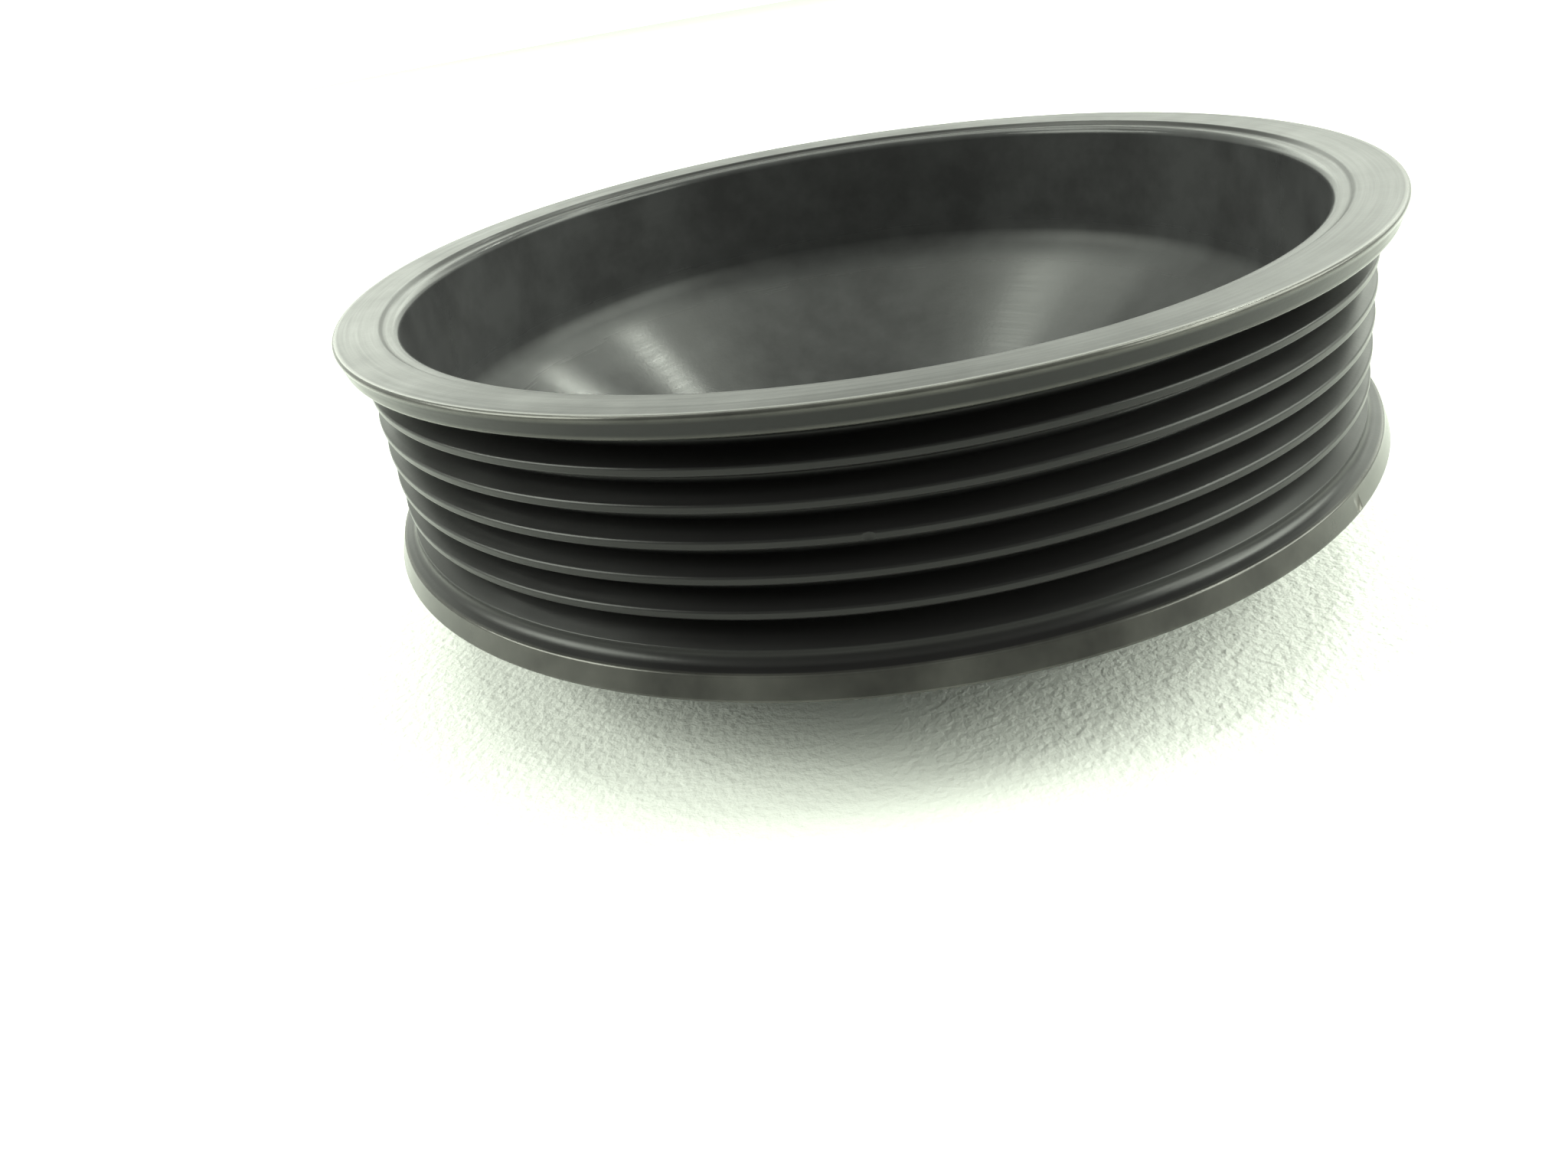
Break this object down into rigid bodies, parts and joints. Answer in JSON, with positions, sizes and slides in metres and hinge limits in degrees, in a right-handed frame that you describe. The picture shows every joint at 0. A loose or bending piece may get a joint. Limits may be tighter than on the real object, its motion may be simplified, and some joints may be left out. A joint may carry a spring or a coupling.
{
  "type": "water pump pulley",
  "caption": "Multi-rib belt pulley with two flanges round a grooved rim, an open cup at the front and a dished web down to a bolted hub with a pilot bore.",
  "frame": {"origin": "centre of the hub's mounting face, which is the lowest face of the part", "axes": "+Z along the pulley's axis, from the hub's mounting face towards the open mouth of the cup; X and Y across the pulley, with one bolt hole on +X"},
  "size_m": [0.1244, 0.1244, 0.041],
  "materials": {
    "coated_steel": "thin black dip-coated paint over formed steel, satin, with faint turning marks"
  },
  "bodies": {
    "root": {"pulley": "coated_steel"}
  },
  "joints": []
}
